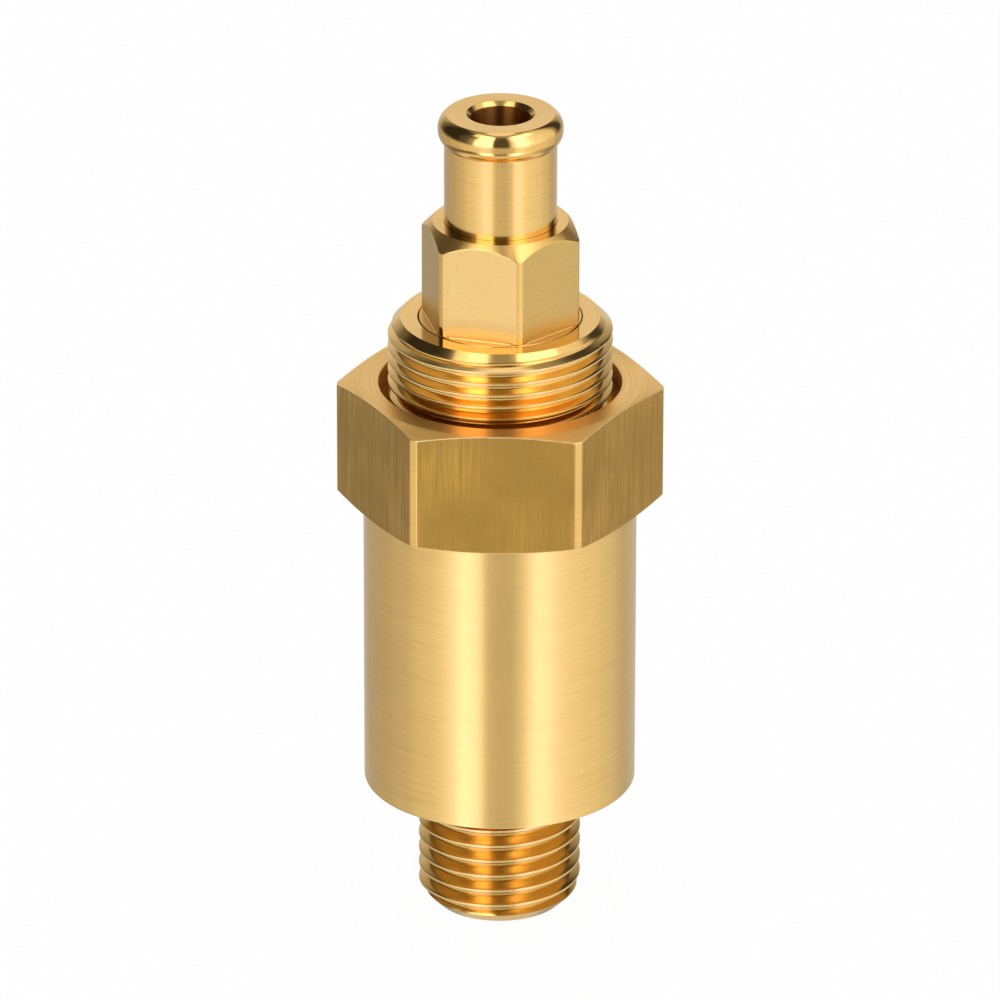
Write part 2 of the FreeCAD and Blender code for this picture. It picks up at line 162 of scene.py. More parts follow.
# Colours, linear
BRASS = (0.93, 0.575, 0.172)
PALE_BRASS = (0.99, 0.65, 0.226)
FLAT_BRASS = (0.73, 0.49, 0.16)
CUT_BRASS = (0.95, 0.61, 0.2)
DULL_BRASS = (0.93, 0.56, 0.155)
DRAWN_BRASS = (0.64, 0.37, 0.075)
ROLLED_BRASS = (0.78, 0.475, 0.13)
# A dark brass for the spigot's bore: painted shade, darker than the metal is
PAINTED_SHADE_BORE_BRASS = (0.42, 0.17, 0.03)
# A pale brass for crests and edges, a painted highlight: it makes them read lighter than the light alone
# would
PAINTED_HIGHLIGHT_BRASS = (1.0, 0.7, 0.3)
STEEL = (0.62, 0.62, 0.6)
RUBBER = (0.03, 0.03, 0.032)
SEAL_WHITE = (0.78, 0.76, 0.7)
WHITE = (1.0, 1.0, 1.0)

# Wear of the brass: noise scales, and the noise levels between which each kind of mark sets in
CLOUD_SCALE = 160.0
CLOUD_LEVELS = (0.3, 0.7)
SPECK_SCALE = 5200.0
SPECK_LEVELS = (0.7, 0.82)
SPECK_SHARE = 0.3
SPECK_SHADE = 0.5
LINE_LEVELS = (0.3, 0.75)
SCRATCH_TURN = (0.3, 0.2, math.radians(24))
SCRATCH_SCALES = (9000, 9000, 260)
SCRATCH_LEVELS = (0.74, 0.78)
SCRATCH_SHADE = 0.6
PATCH_SCALE = 420.0
PATCH_LEVELS = (0.52, 0.62)
MOTTLE_SCALE = 900.0

# Camera: its distance and lens come from the scale, 0.0805 mm a pixel at the valve's axis.
SENSOR = 36.0
LENS = 360.0
CAMERA_DISTANCE = 0.805
CAMERA_ELEVATION = 23.8
CAMERA_ROLL = 0.1
AIM_HEIGHT = 35.13

# The studio seen in the metal: brightness by azimuth, 0 at the camera, positive to its right.
# WALLS is what stands above the horizon and TABLE what lies below it, with NEAR_TABLE nearer to
# the valve. Straight below it and from the ceiling up, the brightness is the same all round.
WALLS = [
    (-180, 0.85), (-160, 0.75), (-148, 0.5), (-134, 0.15), (-122, 0.03), (-90, 0.03), (-68, 0.12),
    (-54, 0.4), (-44, 2.2), (-17, 2.4), (-12, 0.1), (13, 0.1), (23, 1.2), (32, 2.4), (48, 2.2),
    (58, 1.4), (70, 1.15), (84, 1.05), (110, 0.92), (118, 0.4), (126, 0.05), (138, 0.05),
    (150, 0.45), (164, 0.8), (180, 0.85),
]
TABLE = [
    (-180, 0.72), (-162, 0.52), (-145, 0.47), (-115, 0.52), (-90, 0.64), (-66, 0.86), (-50, 0.97),
    (-40, 1.05), (-32, 1.22), (-20, 1.1), (-9, 0.7), (9, 0.66), (21, 0.75), (31, 1.15), (42, 1.2),
    (52, 1.0), (66, 0.95), (84, 0.88), (104, 0.74), (130, 0.54), (160, 0.56), (180, 0.68),
]
NEAR_TABLE = [
    (-180, 0.45), (-120, 0.22), (-60, 0.2), (-50, 0.45), (-44, 1.0), (-36, 3.2), (-20, 3.0),
    (-12, 0.38), (0, 0.3), (11, 0.34), (20, 1.4), (28, 3.1), (37, 2.7), (46, 1.5), (56, 1.05),
    (67, 0.85), (85, 0.6), (120, 0.32), (180, 0.45),
]
BELOW_LEVEL = 0.85
CEILING_LEVEL = 0.4
OVERHEAD_LEVEL = 1.1
STUDIO_PEAK = 3.2
# Heights of the direction, as a share of its length, where one of these fades into the next
BELOW = (-0.82, -0.7)
UNDERNEATH = (-0.6, -0.5)
HORIZON = (-0.3, 0.02)
CEILING = (0.8, 0.95)
OVERHEAD = (0.955, 0.985)
# The bright parts give a cooler light: the brightness where that starts and where it is full
COOL_RANGE = (0.85, 1.25)
COOL_LIGHT = (1.0, 1.02, 1.28)
# The light on matt surfaces
PLAIN_LEVEL = 0.85

# Soft boxes: azimuth, elevation, half-width, half-height and brightness; the angles in degrees
BOX_DISTANCE = 0.7
SOFT_BOXES = [
    (-50, 60, 12, 9, 1.2),
    (62, 60, 14, 9, 1.2),
]

# Floor: its size in metres, how light its paper is, and how much of what the camera sees of it
# is plain white
FLOOR_RADIUS = 3.0
FLOOR_SIDES = 96
PAPER_LEVEL = 0.95
WHITE_SHARE = 0.96


def span(node):
    """The lowest and highest point of a CAD node, in millimetres."""
    low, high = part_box(node)
    return low[2] / MM, high[2] / MM


def even_angles():
    return [2 * math.pi * i / COLUMNS for i in range(COLUMNS)]


def rounded(corners):
    """The points of a closed half-section, given as (radius, height, rounding) for each corner."""
    spots = [Vector(corner[:2]) for corner in corners]
    points = []
    for i, (spot, corner) in enumerate(zip(spots, corners)):
        rounding = corner[2] if len(corner) > 2 else 0
        if not rounding:
            points.append(spot)
            continue
        back = (spots[i - 1] - spot).normalized()
        ahead = (spots[(i + 1) % len(spots)] - spot).normalized()
        half = back.angle(ahead) / 2
        centre = spot + (back + ahead).normalized() * rounding / math.sin(half)
        start = spot + back * rounding / math.tan(half)
        end = spot + ahead * rounding / math.tan(half)
        for step in range(ROUNDING_STEPS + 1):
            towards = start.lerp(end, step / ROUNDING_STEPS) - centre
            points.append(centre + towards.normalized() * rounding)
    return points


def arc(centre, radius, start, end, steps):
    """Points along an arc in the half-section, between two angles in radians."""
    turns = [start + (end - start) * i / steps for i in range(steps + 1)]
    return [Vector((centre[0] + radius * math.cos(t), centre[1] + radius * math.sin(t))) for t in turns]


def rings(points, angles):
    """Each point of a half-section, turned full circle, as one row of (radius, height)."""
    return [[(point[0], point[1])] * len(angles) for point in points]


def add_grid(mesh, rows, angles, shift=0):
    """Join rows of (radius, height) by quads. The last column meets the first, shift rows on."""
    grid = []
    for row in rows:
        places = [(r * math.cos(a), r * math.sin(a), z) for (r, z), a in zip(row, angles)]
        grid.append([mesh.verts.new(Vector(place) * MM) for place in places])
    last = len(angles) - 1
    for j in range(len(grid) - 1):
        for i in range(last):
            mesh.faces.new((grid[j][i], grid[j][i + 1], grid[j + 1][i + 1], grid[j + 1][i]))
        if j + 1 + shift < len(grid):
            mesh.faces.new((grid[j][last], grid[j + shift][0], grid[j + 1 + shift][0], grid[j + 1][last]))


def thread_phases():
    """One pitch as (phase, share of the depth) pairs, from a crest's middle to just before the next."""
    half = [(0.0, 0.0)]
    for turn in CREST_TURNS:
        lean = math.radians(turn)
        half.append((CREST_HALF + CREST_ROUNDING * math.sin(lean), CREST_FALL * (1 - math.cos(lean))))
    start, start_depth = half[-1]
    end = 0.5 - ROOT_HALF
    for share in FLANK_SHARES:
        half.append((start + share * (end - start), start_depth + share * (1 - start_depth)))
    half.append((end + ROOT_ROUNDING, 1.0))
    mirrored = [(1 - phase, depth) for phase, depth in reversed(half[1:])]
    return half + [(0.5, 1.0)] + mirrored


def add_thread(mesh, thread, angles, bottom, top, blank):
    """A right-hand thread whose rows follow its helix. blank gives the uncut radius at a height."""
    phases = thread_phases()
    pitch = thread["pitch"]
    front = -math.pi / 2
    crest = thread["front_crest"] - pitch * front / (2 * math.pi)
    first = math.floor((bottom - crest) / pitch) - SPARE_TURNS
    turns = math.ceil((top - bottom) / pitch) + 2 * SPARE_TURNS
    rows = []
    for turn in range(first, first + turns):
        for phase, depth in phases:
            row = []
            for angle in angles:
                height = crest + pitch * (turn + phase + angle / (2 * math.pi))
                height = min(max(height, bottom), top)
                cut = thread["radius"] - thread["depth"] * depth
                row.append((min(cut, blank(height)), height))
            rows.append(row)
    add_grid(mesh, rows, angles, len(phases))


def thread_finish(thread, radius, normal, flank):
    """The finish of a thread's face: its crest's flat, its crest's edges, both in pale brass as a painted
    highlight, or the one named for the rest.
    """
    if radius < thread["radius"] - CREST_REACH or abs(normal.z) > CREST_EDGE_LEAN:
        return flank
    return "crest" if abs(normal.z) < UPRIGHT_LEAN else "edge"


def hexagon_angles(apothem, corner, turn):
    """Angles of the columns round a hexagon with turned corners, close together at its edges."""
    half = math.acos(apothem / corner)
    sixth = math.radians(60)
    edge = FINE_EDGE / corner
    angles = []
    for face in range(6):
        middle = math.radians(turn) + sixth * (face + 0.5)
        flat = half - edge
        angles += [middle - flat + 2 * flat * i / FLAT_STEPS for i in range(FLAT_STEPS + 1)]
        land = sixth - 2 * half - 2 * edge
        angles += [middle + half + edge + land * i / LAND_STEPS for i in range(LAND_STEPS + 1)]
    return angles


def hexagon_radius(apothem, corner, turn, angle):
    """Where a hexagon with turned corners ends in the direction of an angle."""
    sixth = math.radians(60)
    offset = (angle - math.radians(turn)) % sixth - sixth / 2
    return min(apothem / math.cos(offset), corner)


def hexagon_edge(radii, face, slope, height, down):
    """Rows that take the flats over a broken edge onto the turned cone that ends them."""
    def cone(radius):
        return height - down * max(0, radius - face) * slope

    rows = [[(r, cone(r) - down * FINE_EDGE) for r in radii]]
    for share in BREAK_SHARES:
        inset = FINE_EDGE * share
        rest = FINE_EDGE * (1 - share) * BREAK_FALL
        rows.append([(r - inset, cone(r - inset) - down * rest) for r in radii])
    rows.append([(min(r - 2 * FINE_EDGE, face), height) for r in radii])
    return rows


def finish_piece(name, mesh, body, node, materials, finishes, pick):
    """Close the mesh, give each face the finish that pick names, and let it stand for its CAD node."""
    bmesh.ops.remove_doubles(mesh, verts=mesh.verts, dist=WELD * MM)
    bmesh.ops.dissolve_degenerate(mesh, edges=mesh.edges, dist=SLIVER * MM)
    bmesh.ops.recalc_face_normals(mesh, faces=mesh.faces)
    for face in mesh.faces:
        face.smooth = True
        centre = face.calc_center_median() / MM
        finish = pick(math.hypot(centre.x, centre.y), centre.z, face.normal)
        face.material_index = finishes.index(finish)
    data = bpy.data.meshes.new(name)
    mesh.to_mesh(data)
    mesh.free()
    piece = bpy.data.objects.new(name, data)
    bpy.context.scene.collection.objects.link(piece)
    for finish in finishes:
        data.materials.append(materials[finish])
    data.set_sharp_from_angle(angle=SHARP_ANGLE)
    weighted = piece.modifiers.new("face_weighted_shading", "WEIGHTED_NORMAL")
    weighted.mode = "FACE_AREA_WITH_ANGLE"
    weighted.keep_sharp = True
    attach(piece, body)
    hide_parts(node)


class Nodes:
    """A short way to make and join a material's or the world's nodes."""

    def __init__(self, tree):
        self.tree = tree

    def feed(self, socket, source):
        """Link a socket to the socket that is its source, or set it to a plain value."""
        if isinstance(source, bpy.types.NodeSocket):
            self.tree.links.new(source, socket)
        else:
            socket.default_value = source

    def add(self, kind, inputs=None, **settings):
        node = self.tree.nodes.new(kind)
        for key, setting in settings.items():
            setattr(node, key, setting)
        for key, source in (inputs or {}).items():
            self.feed(node.inputs[key], source)
        return node

    def math(self, operation, *sources, clamp=False):
        node = self.add("ShaderNodeMath", dict(enumerate(sources)), operation=operation, use_clamp=clamp)
        return node.outputs[0]

    def noise(self, vector, scale, detail=2.0, roughness=0.5):
        inputs = {"Vector": vector, "Scale": scale, "Detail": detail, "Roughness": roughness}
        return self.add("ShaderNodeTexNoise", inputs).outputs["Fac"]

    def spread(self, source, low, high, new_low=0.0, new_high=1.0):
        inputs = {0: source, 1: low, 2: high, 3: new_low, 4: new_high}
        return self.add("ShaderNodeMapRange", inputs, interpolation_type="SMOOTHSTEP").outputs[0]

    def blend(self, factor, first, second, kind="MIX"):
        node = self.add("ShaderNodeMix", data_type="RGBA", blend_type=kind)
        self.feed(node.inputs[0], factor)
        self.feed(node.inputs[6], first)
        self.feed(node.inputs[7], second)
        return node.outputs[2]

    def levels(self, share, stops):
        """Brightness by azimuth as a share of the studio's peak, from stops of (degrees, brightness)."""
        ramp = self.add("ShaderNodeValToRGB", {0: share})
        ramp.color_ramp.interpolation = "EASE"
        elements = ramp.color_ramp.elements
        while len(elements) < len(stops):
            elements.new(0.5)
        for element, (angle, level) in zip(elements, stops):
            element.position = angle / 360 + 0.5
            element.color = studio_grey(level)
        return ramp.outputs[0]

    def stretch(self, scales):
        """Object coordinates, each axis scaled on its own."""
        place = self.add("ShaderNodeTexCoord").outputs["Object"]
        return self.add("ShaderNodeMapping", {"Vector": place, "Scale": scales}).outputs["Vector"]

    def turned(self, fine, round_about):
        """Coordinates that change fast along the half-section and slowly round the axis."""
        place = self.add("ShaderNodeTexCoord").outputs["Object"]
        parts = self.add("ShaderNodeSeparateXYZ", {0: place})
        across = self.math("POWER", parts.outputs[0], 2.0)
        along = self.math("POWER", parts.outputs[1], 2.0)
        radius = self.math("SQRT", self.math("ADD", across, along))
        cut = self.math("MULTIPLY", self.math("ADD", radius, parts.outputs[2]), fine)
        side = self.math("MULTIPLY", parts.outputs[0], round_about)
        depth = self.math("MULTIPLY", parts.outputs[1], round_about)
        return self.add("ShaderNodeCombineXYZ", {0: side, 1: depth, 2: cut}).outputs[0]


def colour(rgb, level=1.0):
    """A colour as Blender wants it, made lighter or darker by its level."""
    return (*(channel * level for channel in rgb), 1.0)


def studio_grey(level):
    return colour(WHITE, level / STUDIO_PEAK)


def new_material(name):
    material = bpy.data.materials.new(name)
    material.use_nodes = True
    material.node_tree.nodes.clear()
    return material, Nodes(material.node_tree)


def scratches(nodes):
    """Sparse fine lines in one slanted direction, 1 on a line."""
    place = nodes.add("ShaderNodeTexCoord").outputs["Object"]
    inputs = {"Vector": place, "Rotation": SCRATCH_TURN, "Scale": SCRATCH_SCALES}
    slanted = nodes.add("ShaderNodeMapping", inputs).outputs["Vector"]
    lines = nodes.noise(slanted, 1.0, 0.0)
    patches = nodes.noise(place, PATCH_SCALE, 1.0)
    thin = nodes.spread(lines, *SCRATCH_LEVELS)
    return nodes.math("MULTIPLY", thin, nodes.spread(patches, *PATCH_LEVELS))


def brass(name, base, marks, roughness, wander, anisotropy=0.0, relief=1.0, tint=0.08, scratched=0.25,
          line_shade=0.86):
    """Bare brass. marks gives the coordinates of the tool marks, wander the range of the roughness,
    relief the height of the marks in thousandths of a millimetre, and tint that of the colour."""
    material, nodes = new_material(name)
    grain = marks(nodes)
    fine = nodes.noise(grain, 1.0, 3.0, 0.65)
    place = nodes.add("ShaderNodeTexCoord").outputs["Object"]
    cloud = nodes.spread(nodes.noise(place, CLOUD_SCALE, 3.0), *CLOUD_LEVELS)
    specks = nodes.spread(nodes.noise(place, SPECK_SCALE, 2.0), *SPECK_LEVELS, 0, SPECK_SHARE)
    scratch = nodes.math("MULTIPLY", scratches(nodes), scratched)
    clouded = nodes.blend(cloud, colour(base, 1 + tint), colour(base, 1 - tint))
    lined = nodes.blend(nodes.spread(fine, *LINE_LEVELS), clouded, colour(base, line_shade))
    pitted = nodes.blend(specks, lined, colour(base, SPECK_SHADE))
    marked = nodes.blend(scratch, pitted, colour(base, SCRATCH_SHADE))
    rough = nodes.spread(fine, 0.25, 0.75, roughness - wander, roughness + wander)
    height = nodes.math("SUBTRACT", fine, scratch)
    bump = nodes.add("ShaderNodeBump", {"Height": height, "Strength": 1.0, "Distance": relief * 1e-6})
    tangent = nodes.add("ShaderNodeTangent", direction_type="RADIAL", axis="Z")
    shader = nodes.add("ShaderNodeBsdfPrincipled", {
        "Base Color": marked,
        "Metallic": 1.0,
        "Roughness": rough,
        "Anisotropic": anisotropy,
        "Anisotropic Rotation": 0.25,
        "Tangent": tangent.outputs[0],
        "Normal": bump.outputs[0],
    })
    nodes.add("ShaderNodeOutputMaterial", {"Surface": shader.outputs[0]})
    return material


def plain_solid(name, base, roughness, metallic=0.0):
    """Steel, rubber or plastic with a mottled colour and a fine grain."""
    material, nodes = new_material(name)
    place = nodes.add("ShaderNodeTexCoord").outputs["Object"]
    cloud = nodes.noise(place, MOTTLE_SCALE, 4.0)
    grain = nodes.noise(place, MOTTLE_SCALE * 9, 2.0)
    mottled = nodes.blend(nodes.spread(cloud, 0.3, 0.7), colour(base, 0.85), colour(base, 1.1))
    rough = nodes.spread(grain, 0.3, 0.7, roughness * 0.8, roughness * 1.2)
    bump = nodes.add("ShaderNodeBump", {"Height": grain, "Strength": 0.5, "Distance": 4e-6})
    inputs = {"Base Color": mottled, "Metallic": metallic, "Roughness": rough, "Normal": bump.outputs[0]}
    shader = nodes.add("ShaderNodeBsdfPrincipled", inputs)
    nodes.add("ShaderNodeOutputMaterial", {"Surface": shader.outputs[0]})
    return material


def make_materials():
    """Every finish by its short name. The numbers in turned and stretch say how fine the marks are."""
    return {
        # Outside of the body, brushed on the lathe
        "body": brass("brushed_brass", PALE_BRASS, lambda n: n.turned(20000, 180), 0.22, 0.03,
                      anisotropy=0.7, relief=0.8, tint=0.03, scratched=0.2, line_shade=0.88),
        # Bright turned faces
        "turned": brass("turned_brass", BRASS, lambda n: n.turned(16000, 150), 0.13, 0.04,
                        anisotropy=0.3, relief=0.45),
        # The bush's thread and its inside
        "thread": brass("threaded_brass", CUT_BRASS, lambda n: n.turned(9000, 400), 0.12, 0.03,
                        relief=0.3),
        # The inlet's thread and the inside of the body
        "rolled": brass("rolled_brass", ROLLED_BRASS, lambda n: n.turned(9000, 400), 0.18, 0.04,
                        relief=0.5),
        # Flats on top of the crests, in the pale brass: a painted highlight that whitens their glints
        "crest": brass("crest_brass_painted_highlight", PAINTED_HIGHLIGHT_BRASS, lambda n: n.turned(9000, 400), 0.13, 0.03,
                       relief=0.3),
        # Edges of the crests and of the lock nut's flats: a pale, rough brass that paints a bright highlight
        # line along them
        "edge": brass("edge_brass_painted_highlight", PAINTED_HIGHLIGHT_BRASS, lambda n: n.turned(9000, 900), 0.42, 0.1,
                      relief=0.5),
        # Flats of the lock nut, left as the bar was drawn
        "drawn": brass("drawn_brass", DRAWN_BRASS, lambda n: n.stretch((5200, 5200, 150)), 0.36, 0.08,
                       relief=3.4, tint=0.17, scratched=0.3, line_shade=0.7),
        # Ends and bores of the lock nut, and the outlet hexagon's chamfers
        "faced": brass("faced_brass", DULL_BRASS, lambda n: n.turned(16000, 150), 0.36, 0.05,
                       anisotropy=0.7, relief=0.8, tint=0.05),
        # Flats of the outlet hexagon
        "flats": brass("milled_brass", FLAT_BRASS, lambda n: n.stretch((1500, 1500, 5200)), 0.34, 0.03,
                       relief=0.4, tint=0.03, scratched=0.7, line_shade=0.95),
        # The spigot below its bead
        "neck": brass("fine_turned_brass", CUT_BRASS, lambda n: n.turned(20000, 160), 0.15, 0.03,
                      anisotropy=0.6, relief=0.6, tint=0.03, scratched=0.2, line_shade=0.88),
        # The bead
        "polished": brass("polished_brass", BRASS, lambda n: n.turned(9000, 700), 0.1, 0.03,
                          relief=0.35),
        # Inside the spigot, in a dark brass that paints the shade down the bore
        "bore": brass("bored_brass_painted_shade", PAINTED_SHADE_BORE_BRASS, lambda n: n.turned(9000, 90), 0.36, 0.05,
                      anisotropy=0.95, relief=0.3),
        "steel": plain_solid("bright_steel", STEEL, 0.28, metallic=1.0),
        "rubber": plain_solid("black_rubber", RUBBER, 0.7),
        "seal": plain_solid("white_seal_plastic", SEAL_WHITE, 0.5),
    }


def make_valve_body(materials):
    bottom, top = span("valve_body")
    angles = even_angles()
    mesh = bmesh.new()
    thread_end = INLET_LENGTH - RELIEF_WIDTH
    radius = INLET_THREAD["radius"]
    nose = radius - INLET_CHAMFER

    def blank(height):
        if height < thread_end:
            return min(radius, nose + height - bottom)
        return max(RELIEF_RADIUS, radius - (height - thread_end))

    shoulder = thread_end + radius - RELIEF_RADIUS
    add_thread(mesh, INLET_THREAD, angles, bottom, shoulder, blank)
    bore = BUSH_THREAD["radius"] + THREAD_GAP
    outline = rounded([
        (RELIEF_RADIUS, INLET_LENGTH + UNDERCUT_DEPTH, FINE_EDGE),
        (UNDERCUT_RADIUS, INLET_LENGTH),
        (BODY_RADIUS, INLET_LENGTH, EDGE),
        (BODY_RADIUS, top, EDGE),
        (bore, top, BORE_EDGE),
        (bore, BODY_THREAD_BOTTOM),
        (CHAMBER_RADIUS, BODY_THREAD_BOTTOM),
        (CHAMBER_RADIUS, FLOOR_HEIGHT),
        (NOZZLE_POCKET[0], FLOOR_HEIGHT),
        (NOZZLE_POCKET[0], NOZZLE_POCKET[1]),
        (INLET_BORE, NOZZLE_POCKET[1]),
        (INLET_BORE, bottom, BORE_EDGE),
    ])
    points = [(RELIEF_RADIUS, shoulder)] + outline + [(nose, bottom)]
    add_grid(mesh, rings(points, angles), angles)

    def pick(radius_here, height, normal):
        if height > INLET_LENGTH and radius_here > BODY_RADIUS - EDGE:
            return "body"
        return thread_finish(INLET_THREAD, radius_here, normal, "rolled")

    finish_piece("turned_valve_body", mesh, "body", "valve_body", materials,
                 ["body", "rolled", "edge", "crest"], pick)


def make_adjusting_bush(materials):
    bottom, top = span("adjusting_bush")
    angles = even_angles()
    mesh = bmesh.new()
    radius = BUSH_THREAD["radius"]

    def blank(height):
        lead = radius - BUSH_LEAD_CHAMFER + height - bottom
        return min(radius, lead, radius - BUSH_TOP_CHAMFER + top - height)

    add_thread(mesh, BUSH_THREAD, angles, bottom, top, blank)
    outline = rounded([
        (radius - BUSH_TOP_CHAMFER, top),
        (COLLAR_RECESS[0], top, EDGE),
        (COLLAR_RECESS[0], COLLAR_RECESS[1]),
        (STUB_TAP[0], COLLAR_RECESS[1]),
        (STUB_TAP[0], STUB_TAP[1]),
        (BUSH_FLOW_BORE, STUB_TAP[1]),
        (BUSH_FLOW_BORE, PLATE_SHOULDER[1]),
        (PLATE_SHOULDER[0], PLATE_SHOULDER[1]),
        (PLATE_SHOULDER[0], bottom, EDGE),
        (radius - BUSH_LEAD_CHAMFER, bottom),
    ])
    add_grid(mesh, rings(outline, angles), angles)
    chamfer_foot = top - BUSH_TOP_CHAMFER

    def pick(radius_here, height, normal):
        if height > chamfer_foot and normal.z > CHAMFER_LEAN:
            return "turned"
        return thread_finish(BUSH_THREAD, radius_here, normal, "thread")

    finish_piece("threaded_adjusting_bush", mesh, "adjuster", "adjusting_bush", materials,
                 ["turned", "thread", "edge", "crest"], pick)


def make_lock_nut(materials):
    bottom, top = span("lock_nut")
    angles = hexagon_angles(NUT_APOTHEM, NUT_CORNER, NUT_TURN)
    radii = [hexagon_radius(NUT_APOTHEM, NUT_CORNER, NUT_TURN, angle) for angle in angles]
    mesh = bmesh.new()
    bore = BUSH_THREAD["radius"] + THREAD_GAP
    inside = rounded([
        (NUT_FACE - 2 * EDGE, top),
        (NUT_RECESS[0], top, EDGE),
        (NUT_RECESS[0], top - NUT_RECESS[1]),
        (bore, top - NUT_RECESS[1], BORE_EDGE),
        (bore, bottom + NUT_RING_SEAT[1]),
        (NUT_RING_SEAT[0], bottom + NUT_RING_SEAT[1]),
        (NUT_RING_SEAT[0], bottom, FINE_EDGE),
        (NUT_FACE - 2 * EDGE, bottom),
    ])
    lower = hexagon_edge(radii, NUT_FACE, NUT_SLOPE, bottom, -1)
    upper = hexagon_edge(radii, NUT_FACE, NUT_SLOPE, top, 1)
    rows = lower[::-1] + upper + rings(inside, angles)
    add_grid(mesh, rows + rows[:1], angles)
    least, most = NUT_EDGE_LEANS

    def pick(radius_here, height, normal):
        # The nut's broken edges take the pale brass, a painted highlight line
        if radius_here > NUT_FACE and least < abs(normal.z) < most:
            return "edge"
        if abs(normal.z) > UPRIGHT_LEAN or radius_here < NUT_FACE:
            return "faced"
        return "turned" if radius_here > NUT_CORNER - FINE_EDGE else "drawn"

    finish_piece("hexagon_lock_nut", mesh, "lock_nut", "lock_nut", materials,
                 ["drawn", "faced", "edge", "turned"], pick)


def make_outlet_hex(materials):
    bottom, top = span("outlet_hex")
    angles = hexagon_angles(HEX_APOTHEM, HEX_CORNER, HEX_TURN)
    radii = [hexagon_radius(HEX_APOTHEM, HEX_CORNER, HEX_TURN, angle) for angle in angles]
    mesh = bmesh.new()
    collar_foot = bottom + STUB_LENGTH
    collar_top = collar_foot + COLLAR_THICKNESS
    below = rounded([
        (OUTLET_BORE, bottom, EDGE),
        (STUB_RADIUS, bottom, EDGE),
        (STUB_RADIUS, collar_foot),
        (HEX_CORNER, collar_foot, FINE_EDGE),
        (HEX_CORNER, collar_top, FINE_EDGE),
        (OUTLET_BORE, collar_top),
    ])[:-1]
    inside = rounded([
        (SOCKET_MOUTH[0], top, FINE_EDGE),
        (SOCKET_MOUTH[0], top - SOCKET_MOUTH[1]),
        (SOCKET[0], top - SOCKET_MOUTH[1]),
        (SOCKET[0], top - SOCKET[1]),
        (OUTLET_BORE, top - SOCKET[1]),
        (OUTLET_BORE, top),
    ])[:-1]
    widest = HEX_CORNER - FINE_EDGE
    foot = [
        [(min(r + FOOT_FILLET, widest), collar_top) for r in radii],
        [(min(r + FOOT_MIDDLE, widest), collar_top + FOOT_MIDDLE) for r in radii],
        [(r, collar_top + FOOT_FILLET) for r in radii],
    ]
    upper = hexagon_edge(radii, HEX_FACE, HEX_SLOPE, top, 1)
    rows = rings(below, angles) + foot + upper + rings(inside, angles)
    add_grid(mesh, rows + rows[:1], angles)

    def pick(radius_here, height, normal):
        if height < collar_top or radius_here < SOCKET_MOUTH[0] + EDGE:
            return "turned"
        if abs(normal.z) > UPRIGHT_LEAN:
            return "faced" if radius_here > HEX_FACE else "turned"
        return "flats" if radius_here < HEX_CORNER - FINE_EDGE else "turned"

    finish_piece("outlet_hexagon", mesh, "adjuster", "outlet_hex", materials,
                 ["flats", "turned", "faced"], pick)


def make_hose_spigot(materials):
    bottom, top = span("hose_spigot")
    angles = even_angles()
    mesh = bmesh.new()
    upper = Vector((SPIGOT_RADIUS + BEAD_RISE - BEAD_RADIUS, top - BEAD_DROP))
    lower = upper - Vector((0, BEAD_BAND))
    fillet_radius = SPIGOT_RADIUS + BEAD_FILLET
    fall = math.sqrt((BEAD_RADIUS + BEAD_FILLET) ** 2 - (fillet_radius - lower.x) ** 2)
    fillet = Vector((fillet_radius, lower.y - fall))
    lean = math.atan2(lower.y - fillet.y, lower.x - fillet.x)
    crown = math.asin(BEAD_DROP / BEAD_RADIUS)
    outside = arc(fillet, BEAD_FILLET, math.pi, lean, FILLET_STEPS)
    outside += arc(lower, BEAD_RADIUS, lean - math.pi, 0, BEAD_STEPS)
    outside += arc(upper, BEAD_RADIUS, 0, crown, BEAD_STEPS)
    inside = rounded([
        (SPIGOT_RADIUS - EDGE, top),
        (OUTLET_BORE + MOUTH_CHAMFER, top, FINE_EDGE),
        (OUTLET_BORE, top - MOUTH_CHAMFER, FINE_EDGE),
        (OUTLET_BORE, bottom, EDGE),
        (SPIGOT_RADIUS, bottom, EDGE),
    ])[1:]
    add_grid(mesh, rings(outside + inside + outside[:1], angles), angles)

    def pick(radius_here, height, normal):
        if radius_here < OUTLET_BORE + FINE_EDGE:
            return "bore"
        if height < fillet.y:
            return "neck"
        return "turned" if normal.z > LEVEL_LEAN or radius_here < SPIGOT_RADIUS - EDGE else "polished"

    finish_piece("beaded_hose_spigot", mesh, "adjuster", "hose_spigot", materials,
                 ["polished", "neck", "turned", "bore"], pick)


def make_spring(materials):
    """A copy of the spring, moved to where it stands and given the steel finish."""
    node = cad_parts["spring"]
    data = node.data.copy()
    data.name = "compression_spring"
    data.transform(node.matrix_world)
    data.materials.clear()
    data.materials.append(materials["steel"])
    piece = bpy.data.objects.new(data.name, data)
    bpy.context.scene.collection.objects.link(piece)
    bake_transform(piece)
    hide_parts("spring")


def dress_inner_parts(materials):
    """The other pieces inside keep their shape and get their finish."""
    finishes = {
        "seat_nozzle": "steel", "plunger": "turned", "spring_plate": "turned", "seal_disc": "rubber",
        "seat_gasket": "seal", "nut_seal_ring": "seal", "outlet_gasket": "seal",
    }
    for node, finish in finishes.items():
        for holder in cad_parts[node].material_slots:
            holder.material = materials[finish]


